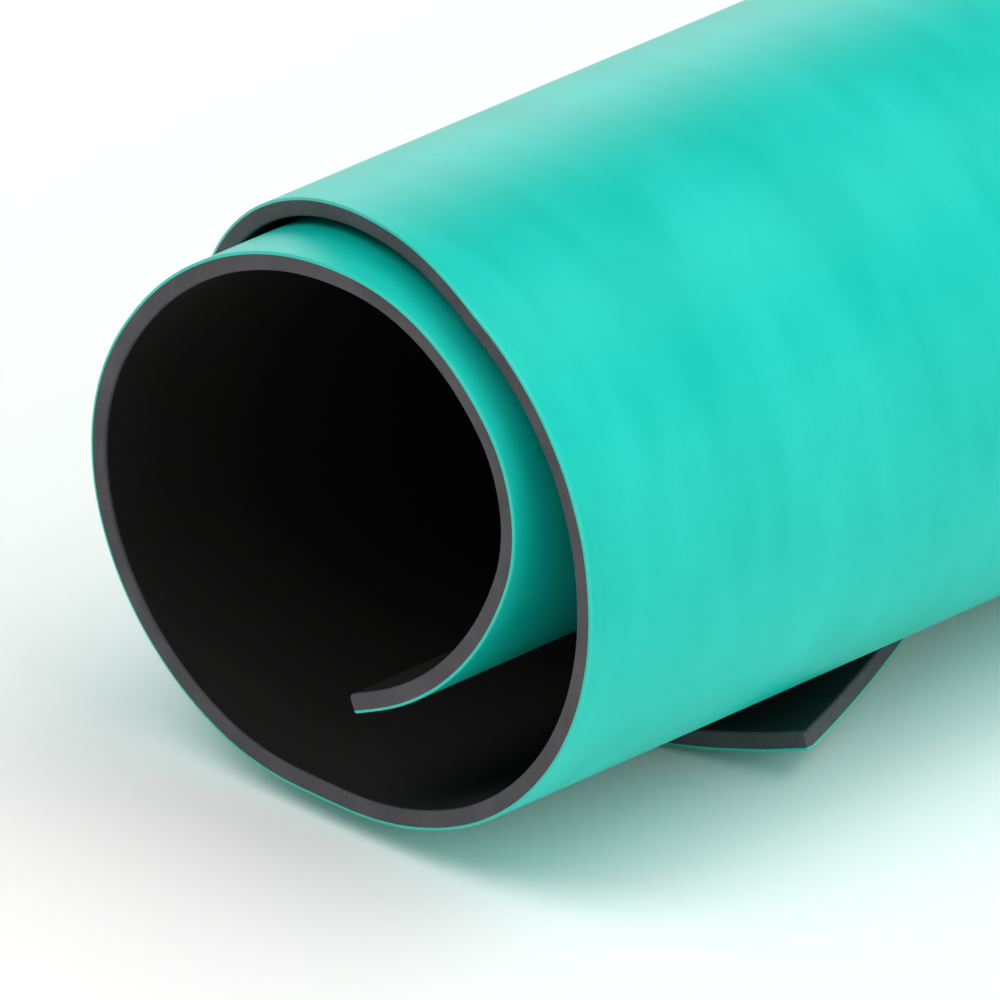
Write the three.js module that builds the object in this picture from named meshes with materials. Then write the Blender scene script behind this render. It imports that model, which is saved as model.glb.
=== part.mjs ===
// Anti-static bench mat, loosely rolled up: a dissipative top layer bonded to a conductive base.
// X runs across the roll, Y along its axis with the near end at -Y, and Z up.
// The mat winds from its inner end at the bottom, up the +X side, over the top and down the -X side.

import * as THREE from 'three';

// Sizes of the mat, in millimetres
const MAT_WIDTH = 500;        // across the winding direction, along the roll
const TOP_LAYER = 0.3;        // smooth dissipative layer, on the outside of the roll
const BASE_LAYER = 1.7;       // conductive rubber, on the inside
const TURN_GAP = 0.6;         // between the last half turn and the turn that it lies on

// The roll's section from the inner end outwards: each arc has the radius of the mat's middle
// surface in millimetres and its turn in degrees
const INNER_END_TILT = 24;    // how steeply the inner end lies
const INNER_TIP = 3;          // straight stretch at the inner end
const INNER_RISE = { radius: 32.9, turn: 46 };
const TIGHT_CURL = { radius: 16.4, turn: 60 };
const FIRST_CROWN = { radius: 24.9, turn: 50 };
const UPPER_LEFT = { radius: 37.8, turn: 60 };
const LEFT = { radius: 24.5, turn: 60 };
const LOWER_LEFT = { radius: 28.4, turn: 60 };
const BOTTOM_FLAT = 6;        // the roll's weight flattens it where it lies
const LOWER_RIGHT = { radius: 37.2, turn: 25 };
const RIGHT_TURN = 75;        // its radius follows, so that the outer turn closes on the first
const SHOULDER = { radius: 30, turn: 40 };
const DESCENT_EASE = 2;       // added radius where the outer turn comes down onto the first
const FLAP = { radius: 80, turn: 17.75 };   // the outer end curls up a little from the floor

// The long edge creeps along the roll as it winds, and the loose outer corner is pulled further
const EDGE_CREEP = 0.012;     // for each millimetre of winding
const CORNER_PULL = 37.1;
const PULL_START = 253;       // wound length at which the pull begins
const PULL_POWER = 1.2;

// The outer end edge runs along the roll, and slants out to the near corner where the flap curls up
const CORNER_SLANT = 29;      // degrees between that slant and the roll's axis
const CORNER_BLUNT = 0.8;     // width left at the corner's tip

const FACET_TURN = 4.5;       // most degrees of turn to one flat facet
const FACET_LENGTH = 3;       // and most millimetres

const THICKNESS = TOP_LAYER + BASE_LAYER;
const rad = THREE.MathUtils.degToRad;

// Where an arc leads: the mat's heading is the angle of its direction from +X towards +Z
function arcStep(heading, arc) {
  const end = heading + rad(arc.turn);
  return new THREE.Vector2(
    arc.radius * (Math.sin(end) - Math.sin(heading)),
    arc.radius * (Math.cos(heading) - Math.cos(end)),
  );
}

function chainStep(heading, arcs) {
  const step = new THREE.Vector2();
  let angle = heading;
  for (const arc of arcs) {
    step.add(arcStep(angle, arc));
    angle += rad(arc.turn);
  }
  return step;
}

// The last turn lies on the left side and the bottom of the first, so it repeats them further out
const OFFSET = THICKNESS + TURN_GAP;
const further = (arc) => ({ radius: arc.radius + OFFSET, turn: arc.turn });
const DESCENT = { radius: UPPER_LEFT.radius + OFFSET + DESCENT_EASE, turn: UPPER_LEFT.turn };
const CROWN_TURN = 180 - LOWER_RIGHT.turn - RIGHT_TURN - SHOULDER.turn;

// The right side and the crown take the two radii that bring the outer turn onto the first one
function closingArcs() {
  const rightStart = rad(LOWER_RIGHT.turn);
  const shoulderStart = rightStart + rad(RIGHT_TURN);
  const crownStart = shoulderStart + rad(SHOULDER.turn);
  const meet = Math.PI + rad(UPPER_LEFT.turn);

  const wanted = new THREE.Vector2(Math.sin(meet), -Math.cos(meet)).multiplyScalar(OFFSET);
  wanted.sub(chainStep(meet, [LEFT, LOWER_LEFT]));
  wanted.x -= BOTTOM_FLAT;
  wanted.sub(arcStep(0, LOWER_RIGHT));
  wanted.sub(arcStep(shoulderStart, SHOULDER));
  wanted.sub(arcStep(Math.PI, DESCENT));

  const right = arcStep(rightStart, { radius: 1, turn: RIGHT_TURN });
  const crown = arcStep(crownStart, { radius: 1, turn: CROWN_TURN });
  const area = right.cross(crown);
  return [
    { radius: wanted.cross(crown) / area, turn: RIGHT_TURN },
    { radius: right.cross(wanted) / area, turn: CROWN_TURN },
  ];
}

// The whole winding in order; a stretch with a length is straight
const [RIGHT, SECOND_CROWN] = closingArcs();
const WINDING = [
  { length: INNER_TIP },
  INNER_RISE,
  TIGHT_CURL,
  FIRST_CROWN,
  UPPER_LEFT,
  LEFT,
  LOWER_LEFT,
  { length: BOTTOM_FLAT },
  LOWER_RIGHT,
  RIGHT,
  SHOULDER,
  SECOND_CROWN,
  DESCENT,
  further(LEFT),
  further(LOWER_LEFT),
  { length: BOTTOM_FLAT },
  FLAP,
];

// Stations along the winding: the middle surface's point, its heading and the wound length so far
function stations() {
  const list = [];
  const point = new THREE.Vector2();
  let heading = rad(INNER_END_TILT);
  let wound = 0;
  const add = () => list.push({ x: point.x, z: point.y, heading, wound });
  add();
  for (const stretch of WINDING) {
    if (stretch.length) {
      point.x += stretch.length * Math.cos(heading);
      point.y += stretch.length * Math.sin(heading);
      wound += stretch.length;
      add();
      continue;
    }
    const arcLength = stretch.radius * rad(stretch.turn);
    const count = Math.ceil(Math.max(stretch.turn / FACET_TURN, arcLength / FACET_LENGTH));
    const piece = { radius: stretch.radius, turn: stretch.turn / count };
    for (let i = 0; i < count; i += 1) {
      point.add(arcStep(heading, piece));
      heading += rad(piece.turn);
      wound += piece.radius * rad(piece.turn);
      add();
    }
  }
  return list;
}

const columns = stations();
const WOUND_LENGTH = columns[columns.length - 1].wound;
const FLAP_LENGTH = FLAP.radius * rad(FLAP.turn);

// The near long edge's place along the roll
function nearEdge(wound) {
  const pulled = Math.max(0, wound - PULL_START) / (WOUND_LENGTH - PULL_START);
  return EDGE_CREEP * wound + CORNER_PULL * pulled ** PULL_POWER;
}

// The mat's far side: the far long edge, and on the flap the slanted end edge
function farEdge(wound) {
  const left = WOUND_LENGTH - wound;
  if (left > FLAP_LENGTH - 0.001) return nearEdge(wound) + MAT_WIDTH;
  return nearEdge(WOUND_LENGTH) + CORNER_BLUNT + left / Math.tan(rad(CORNER_SLANT));
}

// One layer: a flat blank with a column of points at each station, each then moved to its rolled place
function rolledLayer(name, inner, outer, color, roughness) {
  const steps = columns.length - 1;
  const blank = new THREE.BoxGeometry(steps, 1, 1, steps, 1, 1);
  const place = blank.getAttribute('position');
  for (let i = 0; i < place.count; i += 1) {
    const column = columns[Math.round(place.getX(i) + steps / 2)];
    const depth = place.getZ(i) > 0 ? inner : outer;
    place.setXYZ(
      i,
      column.x + depth * Math.sin(column.heading),
      place.getY(i) > 0 ? farEdge(column.wound) : nearEdge(column.wound),
      column.z - depth * Math.cos(column.heading),
    );
  }
  const material = new THREE.MeshStandardMaterial({ color, roughness, metalness: 0 });
  const layer = new THREE.Mesh(blank, material);
  layer.name = name;
  return layer;
}

const innerFace = -THICKNESS / 2;
const bondFace = innerFace + BASE_LAYER;
const outerFace = THICKNESS / 2;

const mat = new THREE.Group();
mat.add(rolledLayer('conductive_base_layer', innerFace, bondFace, '#1c1e1e', 0.85));
mat.add(rolledLayer('dissipative_top_layer', bondFace, outerFace, '#1fcdbb', 0.55));

// The origin is the middle of the box that the roll fills, at the height of the floor
const box = new THREE.Box3().setFromObject(mat);
const middle = box.getCenter(new THREE.Vector3());
mat.position.set(-middle.x, -middle.y, -box.min.z);

export default mat;
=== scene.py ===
"""Anti-static bench mat, loosely rolled up.

The mat is one sheet of rubber: a smooth green dissipative layer on a black conductive base. It is
wound two and a quarter times with the green outside, and its loose outer corner curls up a little
from the floor. Lengths in the code are metres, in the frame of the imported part.
"""

import math

import bpy
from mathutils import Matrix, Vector, noise


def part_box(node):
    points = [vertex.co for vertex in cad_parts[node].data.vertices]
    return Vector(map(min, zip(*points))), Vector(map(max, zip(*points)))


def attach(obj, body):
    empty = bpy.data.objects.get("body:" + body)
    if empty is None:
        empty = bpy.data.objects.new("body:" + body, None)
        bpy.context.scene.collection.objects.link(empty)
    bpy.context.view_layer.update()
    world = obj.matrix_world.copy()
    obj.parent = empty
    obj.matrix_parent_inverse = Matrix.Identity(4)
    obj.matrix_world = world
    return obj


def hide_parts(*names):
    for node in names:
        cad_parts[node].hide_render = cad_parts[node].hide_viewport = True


bl_info = {
    "name": "Rolled bench mat",
    "version": (1, 0, 0),
    "blender": (4, 5, 0),
    "location": "3D View > Sidebar > Bench Mat",
    "description": "Dresses the rolled two-layer bench mat and sets up its stage",
    "category": "Object",
}

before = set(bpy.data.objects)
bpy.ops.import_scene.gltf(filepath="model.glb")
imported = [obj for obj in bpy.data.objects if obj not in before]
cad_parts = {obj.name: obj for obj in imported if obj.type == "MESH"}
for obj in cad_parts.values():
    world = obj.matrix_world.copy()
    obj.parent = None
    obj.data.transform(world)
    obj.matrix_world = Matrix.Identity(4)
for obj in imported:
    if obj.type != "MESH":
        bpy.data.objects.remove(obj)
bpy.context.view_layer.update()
MM = 0.001

BASE_NODE = "conductive_base_layer"
TOP_NODE = "dissipative_top_layer"

# The roll's section from the inner end outwards: radius of the mat's middle surface in
# millimetres and turn in degrees, as in the part's source
INNER_END_TILT = 24
INNER_TIP = 3
INNER_RISE = (32.9, 46)
TIGHT_CURL = (16.4, 60)
FIRST_CROWN = (24.9, 50)
UPPER_LEFT = (37.8, 60)
LEFT = (24.5, 60)
LOWER_LEFT = (28.4, 60)
BOTTOM_FLAT = 6
LOWER_RIGHT = (37.2, 25)
RIGHT_TURN = 75
SHOULDER = (30, 40)
DESCENT_EASE = 2
FLAP = (80, 17.75)

# How the long edge drifts along the roll, and the slanted end of the flap
EDGE_CREEP = 0.012
CORNER_PULL = 37.1
PULL_START = 253
PULL_POWER = 1.2
CORNER_SLANT = 29
CORNER_BLUNT = 0.8
SLANT_ROUNDING = 5.5
SLANT_POWER = 2.2

# From here on in metres: the lengths of the cut's wander, and of the sheet's waves along the
# winding and along the roll
LONG_WANDER = 0.017
SHORT_WANDER = 0.0052
SLOW_WAVE = (0.045, 0.11)
QUICK_WAVE = (0.019, 0.06)
SECOND_STRENGTH = 0.5

# The mesh: points across a face, facets of a rounded corner, and the flat strip beside it
ACROSS = 44
CORNER_SEGMENTS = 4
SUPPORT = 0.00012
LEAST_CORNER = 0.00002
MOST_OF_WIDTH = 0.46
SHARP_ANGLE = 40

# Rows where an end is rounded, as shares of its radius, rows where the slant is, and the least step
END_SHARES = (0.0, 0.08, 0.29, 0.62, 1.0)
SLANT_ROWS = 16
LEAST_STEP = 0.000004
PROBE = 0.00001
SEAT_SAMPLES = 2000


def linear(code):
    """An sRGB hex colour as linear red, green and blue."""
    values = [int(code[i : i + 2], 16) / 255 for i in (1, 3, 5)]
    return tuple(v / 12.92 if v <= 0.04045 else ((v + 0.055) / 1.055) ** 2.4 for v in values)


def rgba(colour):
    return (*colour, 1.0)


class BenchMatSizes(bpy.types.PropertyGroup):
    """Sizes of the mat that a user would change."""

    width: bpy.props.FloatProperty(
        name="Width",
        description="Width of the mat, along the roll",
        default=0.5,
        min=0.1,
        unit="LENGTH",
    )
    top_layer: bpy.props.FloatProperty(
        name="Top layer",
        description="Thickness of the green dissipative layer",
        default=0.0003,
        min=0.0001,
        precision=5,
        unit="LENGTH",
    )
    base_layer: bpy.props.FloatProperty(
        name="Base layer",
        description="Thickness of the black conductive layer",
        default=0.0017,
        min=0.0005,
        precision=5,
        unit="LENGTH",
    )
    turn_gap: bpy.props.FloatProperty(
        name="Gap between turns",
        description="Space between the last turn and the one that it lies on",
        default=0.0006,
        min=0.0001,
        precision=5,
        unit="LENGTH",
    )
    base_corner: bpy.props.FloatProperty(
        name="Base corner",
        description="Radius to which the cut leaves the corner of the black face",
        default=0.00026,
        min=0.00005,
        precision=5,
        unit="LENGTH",
    )
    top_corner: bpy.props.FloatProperty(
        name="Top corner",
        description="Radius to which the cut leaves the corner of the green face",
        default=0.00013,
        min=0.00002,
        precision=5,
        unit="LENGTH",
    )
    edge_wander: bpy.props.FloatProperty(
        name="Cut wander",
        description="How far the cut edge strays from its line",
        default=0.00009,
        min=0.0,
        precision=5,
        unit="LENGTH",
    )
    waviness: bpy.props.FloatProperty(
        name="Waviness",
        description="Height of the slow waves in the sheet",
        default=0.00007,
        min=0.0,
        precision=5,
        unit="LENGTH",
    )
    step: bpy.props.FloatProperty(
        name="Station step",
        description="Most wound length between two rows of the mesh",
        default=0.0012,
        min=0.0003,
        precision=5,
        unit="LENGTH",
    )


class BenchMatColours(bpy.types.PropertyGroup):
    """Colours of the mat."""

    green: bpy.props.FloatVectorProperty(
        name="Green",
        description="Main colour of the dissipative layer",
        subtype="COLOR",
        default=linear("#00BFAF"),
        min=0.0,
        max=1.0,
    )
    pale_green: bpy.props.FloatVectorProperty(
        name="Pale green",
        description="Colour of the faint clouds in the dissipative layer",
        subtype="COLOR",
        default=linear("#18CABB"),
        min=0.0,
        max=1.0,
    )
    cut_green: bpy.props.FloatVectorProperty(
        name="Cut green",
        description="Colour of the dissipative layer where it is cut",
        subtype="COLOR",
        default=linear("#1FC6B2"),
        min=0.0,
        max=1.0,
    )
    black: bpy.props.FloatVectorProperty(
        name="Black",
        description="Colour of the conductive face",
        subtype="COLOR",
        default=linear("#1E1F1D"),
        min=0.0,
        max=1.0,
    )
    cut_grey: bpy.props.FloatVectorProperty(
        name="Cut grey",
        description="Colour of the conductive layer where it is cut",
        subtype="COLOR",
        default=linear("#48474A"),
        min=0.0,
        max=1.0,
    )


class BenchMatStage(bpy.types.PropertyGroup):
    """Floor, light and camera."""

    floor: bpy.props.FloatVectorProperty(
        name="Floor",
        description="Colour of the floor",
        subtype="COLOR",
        default=linear("#FAFAF9"),
        min=0.0,
        max=1.0,
    )
    tent: bpy.props.FloatProperty(
        name="Tent",
        description="Strength of the light from all of the tent",
        default=0.32,
        min=0.0,
    )
    overhead: bpy.props.FloatProperty(
        name="Overhead light",
        description="Strength of the soft box over the near end",
        default=3.4,
        min=0.0,
    )
    above_right: bpy.props.FloatProperty(
        name="High light",
        description="Strength of the soft box high at the right",
        default=2.4,
        min=0.0,
    )
    right_side: bpy.props.FloatProperty(
        name="Right light",
        description="Strength of the soft boxes at the right",
        default=3.7,
        min=0.0,
    )
    behind: bpy.props.FloatProperty(
        name="Light behind",
        description="Strength of the soft box behind the roll",
        default=2.3,
        min=0.0,
    )
    distance: bpy.props.FloatProperty(
        name="Camera distance",
        description="From the camera to the point it looks at",
        default=3.0,
        min=0.5,
        unit="LENGTH",
    )
    frame_width: bpy.props.FloatProperty(
        name="Frame width",
        description="Width of the picture at the point the camera looks at",
        default=0.09804,
        min=0.01,
        unit="LENGTH",
    )


# The winding


def arc_step(heading, radius, turn):
    """The move in X and Z along an arc, in the arc's own unit."""
    end = heading + math.radians(turn)
    return Vector((math.sin(end) - math.sin(heading), math.cos(heading) - math.cos(end))) * radius


def winding(sizes):
    """The winding as a list of (length, turn in degrees), in metres."""
    offset = sizes.top_layer + sizes.base_layer + sizes.turn_gap
    arcs = {
        "rise": INNER_RISE,
        "curl": TIGHT_CURL,
        "crown": FIRST_CROWN,
        "upper": UPPER_LEFT,
        "left": LEFT,
        "lower": LOWER_LEFT,
        "right": LOWER_RIGHT,
        "shoulder": SHOULDER,
        "flap": FLAP,
    }
    arcs = {name: (radius * MM, turn) for name, (radius, turn) in arcs.items()}
    for name in ("left", "lower"):
        arcs["outer_" + name] = (arcs[name][0] + offset, arcs[name][1])
    arcs["descent"] = (arcs["upper"][0] + offset + DESCENT_EASE * MM, UPPER_LEFT[1])
    flat = BOTTOM_FLAT * MM

    # The right side and the second crown take the radii that bring the outer turn onto the first
    crown_turn = 180 - LOWER_RIGHT[1] - RIGHT_TURN - SHOULDER[1]
    right_start = math.radians(LOWER_RIGHT[1])
    shoulder_start = right_start + math.radians(RIGHT_TURN)
    crown_start = shoulder_start + math.radians(SHOULDER[1])
    meet = math.pi + math.radians(UPPER_LEFT[1])
    wanted = Vector((math.sin(meet), -math.cos(meet))) * offset
    wanted -= arc_step(meet, *arcs["left"])
    wanted -= arc_step(meet + math.radians(LEFT[1]), *arcs["lower"])
    wanted.x -= flat
    wanted -= arc_step(0, *arcs["right"])
    wanted -= arc_step(shoulder_start, *arcs["shoulder"])
    wanted -= arc_step(math.pi, *arcs["descent"])
    side = arc_step(right_start, 1, RIGHT_TURN)
    crown = arc_step(crown_start, 1, crown_turn)
    area = side.cross(crown)
    arcs["side"] = (wanted.cross(crown) / area, RIGHT_TURN)
    arcs["second_crown"] = (side.cross(wanted) / area, crown_turn)

    order = "rise curl crown upper left lower - right side shoulder second_crown descent "
    order += "outer_left outer_lower - flap"
    stretches = [(INNER_TIP * MM, 0)]
    for name in order.split():
        if name == "-":
            stretches.append((flat, 0))
        else:
            radius, turn = arcs[name]
            stretches.append((radius * math.radians(turn), turn))
    return stretches


def place_on_winding(stretches, wound):
    """Point (X, Z) and heading of the mat's middle surface at a wound length."""
    point = Vector((0, 0))
    heading = math.radians(INNER_END_TILT)
    left = wound
    for index, (length, turn) in enumerate(stretches):
        last = index == len(stretches) - 1
        part = left if last else min(left, length)
        if turn:
            radius = length / math.radians(turn)
            moved = math.degrees(part / radius)
            point += arc_step(heading, radius, moved)
            heading += math.radians(moved)
        else:
            point += Vector((math.cos(heading), math.sin(heading))) * part
        left -= part
        if left <= 0:
            break
    return point, heading


class Outline:
    """The flat mat's outline, as places along the roll for each wound length."""

    def __init__(self, sizes, stretches):
        self.sizes = sizes
        self.length = sum(length for length, turn in stretches)
        self.flap = stretches[-1][0]
        self.flap_start = self.length - self.flap

    def near_line(self, wound):
        start = PULL_START * MM
        pulled = max(0.0, wound - start) / (self.length - start)
        return EDGE_CREEP * wound + CORNER_PULL * MM * pulled**PULL_POWER

    def near(self, wound):
        """The near long edge, with the slight wander of a hand-guided cut."""
        wander = noise.noise(Vector((wound / LONG_WANDER, 3.1, 0.0)))
        wander += SECOND_STRENGTH * noise.noise(Vector((wound / SHORT_WANDER, 7.7, 0.0)))
        return self.near_line(wound) + self.sizes.edge_wander * wander

    def far(self, wound):
        """The far long edge, and on the flap the slanted end edge."""
        full = self.near_line(wound) + self.sizes.width
        if wound <= self.flap_start:
            return full
        slope = 1 / math.tan(math.radians(CORNER_SLANT))
        tip = self.near_line(self.length) + CORNER_BLUNT * MM
        slant = tip + (self.length - wound) * slope
        rounding = SLANT_ROUNDING * MM
        share = max(0.0, 1 - (wound - self.flap_start) / rounding)
        start = self.near_line(self.flap_start) + self.sizes.width - tip - self.flap * slope
        return slant + start * share**SLANT_POWER

    def slope(self, edge, wound):
        """How much longer a step across the edge is along the roll than square to the edge."""
        ahead = min(wound + PROBE, self.length)
        drift = (edge(ahead) - edge(ahead - 2 * PROBE)) / (2 * PROBE)
        return math.sqrt(1 + drift * drift)


def rows_of_mesh(sizes, outline):
    """Wound lengths of the rows: even steps, and closer ones where an end or a slant is rounded."""
    count = math.ceil(outline.length / sizes.step)
    rows = {round(outline.length * i / count, 7) for i in range(count + 1)}
    for share in END_SHARES:
        rows.add(round(sizes.base_corner * share, 7))
        rows.add(round(outline.length - sizes.base_corner * share, 7))
    for i in range(SLANT_ROWS + 1):
        rows.add(round(outline.flap_start + SLANT_ROUNDING * MM * i / SLANT_ROWS, 7))
    rows = sorted(rows)
    return [b for a, b in zip([-1.0] + rows, rows) if b - a > LEAST_STEP]


def end_inset(distance, radius):
    """How much thinner a rounded end is at a distance from it."""
    if distance >= radius:
        return 0.0
    return radius - math.sqrt(max(0.0, radius**2 - (radius - distance) ** 2))


def corner(radius, segments):
    """A quarter circle as (step in from the edge, step in from the face), from face to edge."""
    points = []
    for i in range(segments + 1):
        angle = math.pi / 2 * i / segments
        points.append((radius * (1 - math.sin(angle)), radius * (1 - math.cos(angle))))
    return points


def layer_mesh(name, sizes, inner, outer, inner_corner, outer_corner):
    """One layer as a closed mesh. A face's material index is 0 on the faces and 1 where cut.

    The attribute flat_place holds each point's place in the flat mat: wound length, place along
    the roll and depth, for the patterns of the materials.
    """
    stretches = winding(sizes)
    outline = Outline(sizes, stretches)
    rows = rows_of_mesh(sizes, outline)
    verts = []
    flats = []
    for wound in rows:
        point, heading = place_on_winding(stretches, wound)
        near, far = outline.near(wound), outline.far(wound)
        near_slope = outline.slope(outline.near_line, wound)
        far_slope = outline.slope(outline.far, wound)
        # Towards the tip the corners narrow with the mat, so that they never meet
        widest = max(inner_corner, outer_corner, LEAST_CORNER) + SUPPORT
        fit = min(1.0, MOST_OF_WIDTH * (far - near) / (widest * max(near_slope, far_slope)))
        end = min(wound, outline.length - wound)
        low = inner + end_inset(end, inner_corner)
        high = outer - end_inset(end, outer_corner)

        loop = []
        kinds = []

        def add(place, depth, kind):
            loop.append((place, depth))
            kinds.append(kind)

        def corner_points(edge, inward, slope, depth, radius, sign, to_edge):
            """The rounded corner between a face and a cut."""
            if radius <= 0:
                add(edge, depth, 1)
                return
            turns = corner(radius, CORNER_SEGMENTS)
            for step_in, step_down in turns if to_edge else reversed(turns):
                add(edge + inward * step_in * slope * fit, depth + sign * step_down, 1)

        def face_points(radius, depth, forward):
            start = near + (radius + SUPPORT) * near_slope * fit
            stop = far - (radius + SUPPORT) * far_slope * fit
            shares = [i / ACROSS for i in range(ACROSS + 1)]
            for share in shares if forward else reversed(shares):
                add(start + (stop - start) * share, depth, 0)

        face_points(inner_corner, low, True)
        corner_points(far, -1, far_slope, low, inner_corner, 1, True)
        corner_points(far, -1, far_slope, high, outer_corner, -1, False)
        face_points(outer_corner, high, False)
        corner_points(near, 1, near_slope, high, outer_corner, -1, True)
        corner_points(near, 1, near_slope, low, inner_corner, 1, False)

        for place, depth in loop:
            slow = noise.noise(Vector((wound / SLOW_WAVE[0], place / SLOW_WAVE[1], 1.7)))
            quick = noise.noise(Vector((wound / QUICK_WAVE[0], place / QUICK_WAVE[1], 5.2)))
            lift = depth + sizes.waviness * (slow + SECOND_STRENGTH * quick)
            verts.append(
                (
                    point.x + lift * math.sin(heading),
                    place,
                    point.y - lift * math.cos(heading),
                )
            )
            flats.append((wound, place, depth))

    ring = len(kinds)
    faces = []
    indices = []
    for row in range(len(rows) - 1):
        for i in range(ring):
            j = (i + 1) % ring
            a = row * ring
            b = a + ring
            faces.append((a + i, a + j, b + j, b + i))
            indices.append(max(kinds[i], kinds[j]))
    faces.append(tuple(reversed(range(ring))))
    faces.append(tuple(range((len(rows) - 1) * ring, len(rows) * ring)))
    indices += [1, 1]

    mesh = bpy.data.meshes.new(name)
    mesh.from_pydata(verts, [], faces)
    mesh.polygons.foreach_set("material_index", indices)
    mesh.polygons.foreach_set("use_smooth", [True] * len(faces))
    mesh.set_sharp_from_angle(angle=math.radians(SHARP_ANGLE))
    attribute = mesh.attributes.new("flat_place", "FLOAT_VECTOR", "POINT")
    attribute.data.foreach_set("vector", [value for flat in flats for value in flat])
    mesh.update()
    return mesh


def seat_shift(sizes):
    """From the winding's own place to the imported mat's highest X, its near end and the floor."""
    stretches = winding(sizes)
    outline = Outline(sizes, stretches)
    depth = (sizes.top_layer + sizes.base_layer) / 2
    xs, zs = [], []
    for i in range(SEAT_SAMPLES + 1):
        point, heading = place_on_winding(stretches, outline.length * i / SEAT_SAMPLES)
        xs.append(point.x + depth * math.sin(heading))
        zs.append(point.y - depth * math.cos(heading))
    low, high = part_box(TOP_NODE)
    return Vector((high.x - max(xs), low.y - outline.near_line(0), -min(zs)))


# Materials


def node(tree, kind, settings=None, links=None):
    """Adds a node, sets its properties and inputs, and links its inputs to other sockets."""
    made = tree.nodes.new(kind)
    for key, value in (settings or {}).items():
        if isinstance(key, str) and hasattr(made, key):
            setattr(made, key, value)
        else:
            made.inputs[key].default_value = value
    for key, socket in (links or {}).items():
        tree.links.new(socket, made.inputs[key])
    return made


def new_material(name):
    material = bpy.data.materials.new(name)
    material.use_nodes = True
    material.node_tree.nodes.clear()
    return material, material.node_tree


def finish_material(tree, shader):
    node(tree, "ShaderNodeOutputMaterial", links={"Surface": shader.outputs["BSDF"]})


def flat_pattern(tree, along, across, detail=2.0, roughness=0.5):
    """A noise in the flat mat: one patch is so many metres along the winding and along the roll."""
    place = node(tree, "ShaderNodeAttribute", {"attribute_name": "flat_place"})
    scaled = node(
        tree,
        "ShaderNodeVectorMath",
        {"operation": "MULTIPLY", 1: (1 / along, 1 / across, 1 / min(along, across))},
        {0: place.outputs["Vector"]},
    )
    return node(
        tree,
        "ShaderNodeTexNoise",
        {"Scale": 1.0, "Detail": detail, "Roughness": roughness},
        {"Vector": scaled.outputs["Vector"]},
    )


def green_vinyl(colours):
    """Nitrile and vinyl rubber, calendered smooth: satin, with faint clouds from the rollers."""
    material, tree = new_material("green_nitrile_vinyl_calendered")
    # Clouds 35 mm long round the roll and 14 mm wide, and streaks 16 mm long and 3.5 mm wide:
    # both are hardly lighter than the ground
    clouds = flat_pattern(tree, 0.035, 0.014, detail=3.0, roughness=0.6)
    streaks = flat_pattern(tree, 0.016, 0.0035, detail=3.0, roughness=0.6)
    mottle = node(
        tree,
        "ShaderNodeMath",
        {"operation": "MULTIPLY_ADD", 1: 0.6},
        {0: streaks.outputs["Fac"], 2: clouds.outputs["Fac"]},
    )
    spread = node(
        tree,
        "ShaderNodeMapRange",
        {"From Min": 0.62, "From Max": 1.02},
        {"Value": mottle.outputs["Value"]},
    )
    ground = node(
        tree,
        "ShaderNodeMix",
        {"data_type": "RGBA", 6: rgba(colours.green), 7: rgba(colours.pale_green)},
        {0: spread.outputs["Result"]},
    )
    # Calendered grain of 0.4 mm, the finest that shows
    grain = flat_pattern(tree, 0.0004, 0.0004, detail=1.0)
    # Long low waves that the gloss picks up
    swell = flat_pattern(tree, 0.022, 0.012, detail=2.0)
    swell_bump = node(
        tree,
        "ShaderNodeBump",
        {"Strength": 0.25, "Distance": 0.00025},
        {"Height": swell.outputs["Fac"]},
    )
    bump = node(
        tree,
        "ShaderNodeBump",
        {"Strength": 0.12, "Distance": 0.00003},
        {"Height": grain.outputs["Fac"], "Normal": swell_bump.outputs["Normal"]},
    )
    gloss = node(
        tree,
        "ShaderNodeMapRange",
        {"To Min": 0.36, "To Max": 0.44},
        {"Value": clouds.outputs["Fac"]},
    )
    shader = node(
        tree,
        "ShaderNodeBsdfPrincipled",
        {"IOR": 1.5, "Specular IOR Level": 0.22},
        {
            "Base Color": ground.outputs[2],
            "Roughness": gloss.outputs["Result"],
            "Normal": bump.outputs["Normal"],
        },
    )
    finish_material(tree, shader)
    return material


def cut_vinyl(colours):
    """The same green layer where the blade went through: paler and duller."""
    material, tree = new_material("green_nitrile_vinyl_cut")
    # Blade marks of 0.9 mm change its tone
    drag = flat_pattern(tree, 0.0009, 0.0009, detail=2.0)
    tone = node(
        tree,
        "ShaderNodeMix",
        {"data_type": "RGBA", 6: rgba(colours.cut_green), 7: rgba(colours.pale_green)},
        {0: drag.outputs["Fac"]},
    )
    shader = node(
        tree,
        "ShaderNodeBsdfPrincipled",
        {"IOR": 1.5, "Roughness": 0.4},
        {"Base Color": tone.outputs[2]},
    )
    finish_material(tree, shader)
    return material


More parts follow.
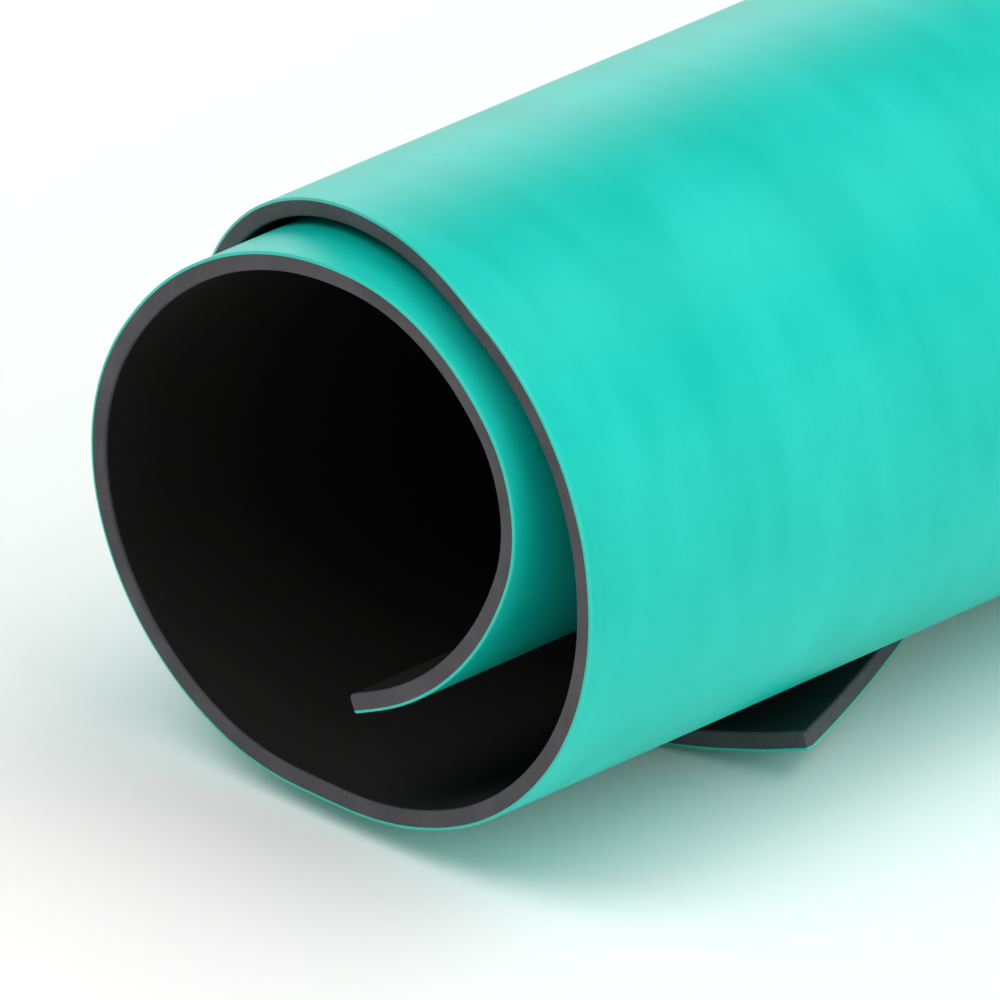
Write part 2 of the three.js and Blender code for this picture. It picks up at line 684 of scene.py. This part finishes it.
def black_rubber(colours):
    """Rubber filled with carbon black and pressed: near black, with a dull fine grain."""
    material, tree = new_material("black_carbon_rubber_pressed")
    # Grain of 0.5 mm, and patches of 20 mm that change the tone and the gloss
    grain = flat_pattern(tree, 0.0005, 0.0005, detail=2.0)
    patches = flat_pattern(tree, 0.02, 0.02, detail=2.0)
    tone = node(
        tree,
        "ShaderNodeMix",
        {"data_type": "RGBA", 6: rgba([v * 0.8 for v in colours.black]), 7: rgba(colours.black)},
        {0: patches.outputs["Fac"]},
    )
    bump = node(
        tree,
        "ShaderNodeBump",
        {"Strength": 0.25, "Distance": 0.00005},
        {"Height": grain.outputs["Fac"]},
    )
    gloss = node(
        tree,
        "ShaderNodeMapRange",
        {"To Min": 0.5, "To Max": 0.62},
        {"Value": patches.outputs["Fac"]},
    )
    shader = node(
        tree,
        "ShaderNodeBsdfPrincipled",
        {"IOR": 1.5, "Specular IOR Level": 0.35},
        {
            "Base Color": tone.outputs[2],
            "Roughness": gloss.outputs["Result"],
            "Normal": bump.outputs["Normal"],
        },
    )
    finish_material(tree, shader)
    return material


def cut_rubber(colours):
    """The same rubber cut with a blade: dull grey, with fine drag lines through the thickness."""
    material, tree = new_material("black_carbon_rubber_cut")
    # Drag lines 0.5 mm apart along the cut, and slow changes of tone every few millimetres
    drag = flat_pattern(tree, 0.0005, 0.004, detail=2.0)
    tone_change = flat_pattern(tree, 0.006, 0.006, detail=3.0)
    mixed = node(
        tree,
        "ShaderNodeMath",
        {"operation": "MULTIPLY_ADD", 1: 0.45},
        {0: drag.outputs["Fac"], 2: tone_change.outputs["Fac"]},
    )
    spread = node(
        tree,
        "ShaderNodeMapRange",
        {"From Min": 0.45, "From Max": 1.0},
        {"Value": mixed.outputs["Value"]},
    )
    tone = node(
        tree,
        "ShaderNodeMix",
        {
            "data_type": "RGBA",
            6: rgba([v * 0.72 for v in colours.cut_grey]),
            7: rgba([v * 1.28 for v in colours.cut_grey]),
        },
        {0: spread.outputs["Result"]},
    )
    bump = node(
        tree,
        "ShaderNodeBump",
        {"Strength": 0.3, "Distance": 0.00004},
        {"Height": drag.outputs["Fac"]},
    )
    shader = node(
        tree,
        "ShaderNodeBsdfPrincipled",
        {"IOR": 1.5, "Roughness": 0.75},
        {"Base Color": tone.outputs[2], "Normal": bump.outputs["Normal"]},
    )
    finish_material(tree, shader)
    return material


def painted_floor(stage):
    """A plain matt studio floor."""
    material, tree = new_material("studio_floor_matt_paint")
    shader = node(
        tree,
        "ShaderNodeBsdfPrincipled",
        {"Base Color": rgba(stage.floor), "Roughness": 0.9, "Specular IOR Level": 0.1},
    )
    finish_material(tree, shader)
    return material


# Operators


def add_layer(name, mesh, materials, shift, cad_node):
    for material in materials:
        mesh.materials.append(material)
    for vert in mesh.vertices:
        vert.co += shift
    piece = bpy.data.objects.new(name, mesh)
    bpy.context.scene.collection.objects.link(piece)
    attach(piece, "root")
    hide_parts(cad_node)
    return piece


class BENCHMAT_OT_base_layer(bpy.types.Operator):
    """Make the black conductive base layer"""

    bl_idname = "bench_mat.base_layer"
    bl_label = "Base layer"

    def execute(self, context):
        sizes = context.scene.bench_mat_sizes
        colours = context.scene.bench_mat_colours
        half = (sizes.top_layer + sizes.base_layer) / 2
        mesh = layer_mesh("base_rubber", sizes, -half, half - sizes.top_layer, sizes.base_corner, 0)
        materials = [black_rubber(colours), cut_rubber(colours)]
        add_layer("base_rubber", mesh, materials, seat_shift(sizes), BASE_NODE)
        return {"FINISHED"}


class BENCHMAT_OT_top_layer(bpy.types.Operator):
    """Make the green dissipative top layer"""

    bl_idname = "bench_mat.top_layer"
    bl_label = "Top layer"

    def execute(self, context):
        sizes = context.scene.bench_mat_sizes
        colours = context.scene.bench_mat_colours
        half = (sizes.top_layer + sizes.base_layer) / 2
        mesh = layer_mesh("top_skin", sizes, half - sizes.top_layer, half, 0, sizes.top_corner)
        materials = [green_vinyl(colours), cut_vinyl(colours)]
        add_layer("top_skin", mesh, materials, seat_shift(sizes), TOP_NODE)
        return {"FINISHED"}


# What the camera looks at: a point on the roll a little behind its near end
CAMERA_TARGET = Vector((0.003233, -0.245105, 0.030031))
CAMERA_AZIMUTH = 45.9
CAMERA_ELEVATION = 26.5
SENSOR_WIDTH = 36.0
FLOOR_REACH = 60.0

# Where the tent's soft boxes stand, as azimuth and elevation, and how far they reach
OVERHEAD = (346, 62)
ABOVE_RIGHT = (140, 66)
RIGHT_LOW = (103, 10)
RIGHT_HIGH = (102, 44)
BEHIND = (225, 0)
SOFT_BOX_MIDDLE = 6
SOFT_BOX_RIM = 28
RIGHT_LOW_SHARE = 0.65


def direction(azimuth, elevation):
    """From the object outwards: azimuth 0 is the near end, 90 the side of the loose corner."""
    a, e = math.radians(azimuth), math.radians(elevation)
    return Vector((math.sin(a) * math.cos(e), -math.cos(a) * math.cos(e), math.sin(e)))


def soft_box(tree, place, azimuth, elevation, strength):
    """Light from a round patch of the tent, brightest in its middle and fading to its rim."""
    towards = node(
        tree,
        "ShaderNodeVectorMath",
        {"operation": "DOT_PRODUCT", 1: direction(azimuth, elevation)},
        {0: place.outputs["Generated"]},
    )
    return node(
        tree,
        "ShaderNodeMapRange",
        {
            "interpolation_type": "SMOOTHSTEP",
            "From Min": math.cos(math.radians(SOFT_BOX_RIM)),
            "From Max": math.cos(math.radians(SOFT_BOX_MIDDLE)),
            "To Min": 0.0,
            "To Max": strength,
        },
        {"Value": towards.outputs["Value"]},
    )


def light_tent(stage):
    """A dim white tent with soft boxes: over the near end, high and low at the right, and behind."""
    world = bpy.data.worlds.new("light_tent")
    world.use_nodes = True
    tree = world.node_tree
    tree.nodes.clear()
    place = node(tree, "ShaderNodeTexCoord")
    boxes = (
        (OVERHEAD, stage.overhead),
        (ABOVE_RIGHT, stage.above_right),
        (RIGHT_LOW, stage.right_side * RIGHT_LOW_SHARE),
        (RIGHT_HIGH, stage.right_side * (1 - RIGHT_LOW_SHARE)),
        (BEHIND, stage.behind),
    )
    # The first sum starts from the tent's own strength, and each next one from the sum before
    links = {}
    for (azimuth, elevation), strength in boxes:
        links[1] = soft_box(tree, place, azimuth, elevation, strength).outputs["Result"]
        total = node(tree, "ShaderNodeMath", {"operation": "ADD", 0: stage.tent}, links)
        links[0] = total.outputs["Value"]
    background = node(
        tree,
        "ShaderNodeBackground",
        {"Color": (1.0, 1.0, 1.0, 1.0)},
        {"Strength": total.outputs["Value"]},
    )
    node(tree, "ShaderNodeOutputWorld", links={"Surface": background.outputs["Background"]})
    return world


class BENCHMAT_OT_stage(bpy.types.Operator):
    """Make the floor, the soft lights, the surroundings and the camera"""

    bl_idname = "bench_mat.stage"
    bl_label = "Stage"

    def execute(self, context):
        stage = context.scene.bench_mat_stage
        mesh = bpy.data.meshes.new("floor")
        r = FLOOR_REACH
        mesh.from_pydata([(-r, -r, 0), (r, -r, 0), (r, r, 0), (-r, r, 0)], [], [(0, 1, 2, 3)])
        mesh.materials.append(painted_floor(stage))
        floor = bpy.data.objects.new("floor", mesh)
        context.scene.collection.objects.link(floor)

        context.scene.world = light_tent(stage)
        # A white sheet stays white, and the green keeps its full colour
        context.scene.view_settings.view_transform = "Standard"

        data = bpy.data.cameras.new("camera")
        data.sensor_width = SENSOR_WIDTH
        data.lens = SENSOR_WIDTH * stage.distance / stage.frame_width
        data.clip_start = 0.1
        data.clip_end = 200.0
        camera = bpy.data.objects.new("camera", data)
        way = direction(CAMERA_AZIMUTH, CAMERA_ELEVATION)
        camera.location = CAMERA_TARGET + way * stage.distance
        camera.rotation_euler = way.to_track_quat("Z", "Y").to_euler()
        context.scene.collection.objects.link(camera)
        context.scene.camera = camera
        return {"FINISHED"}


class BENCHMAT_PT_sidebar(bpy.types.Panel):
    """Everything that makes the rolled mat"""

    bl_idname = "BENCHMAT_PT_sidebar"
    bl_label = "Rolled bench mat"
    bl_space_type = "VIEW_3D"
    bl_region_type = "UI"
    bl_category = "Bench Mat"

    def draw(self, context):
        layout = self.layout
        for group in ("bench_mat_sizes", "bench_mat_colours", "bench_mat_stage"):
            settings = getattr(context.scene, group)
            box = layout.box()
            for name in settings.bl_rna.properties.keys():
                if name not in ("rna_type", "name"):
                    box.prop(settings, name)
        for operator in OPERATORS:
            layout.operator(operator.bl_idname)


GROUPS = {
    "bench_mat_sizes": BenchMatSizes,
    "bench_mat_colours": BenchMatColours,
    "bench_mat_stage": BenchMatStage,
}
OPERATORS = (BENCHMAT_OT_base_layer, BENCHMAT_OT_top_layer, BENCHMAT_OT_stage)
CLASSES = (*GROUPS.values(), *OPERATORS, BENCHMAT_PT_sidebar)


def register():
    for cls in CLASSES:
        bpy.utils.register_class(cls)
    for name, group in GROUPS.items():
        setattr(bpy.types.Scene, name, bpy.props.PointerProperty(type=group))


def unregister():
    for name in GROUPS:
        delattr(bpy.types.Scene, name)
    for cls in reversed(CLASSES):
        bpy.utils.unregister_class(cls)


def main():
    register()
    bpy.ops.bench_mat.base_layer()
    bpy.ops.bench_mat.top_layer()
    bpy.ops.bench_mat.stage()


if __name__ == "__main__":
    main()
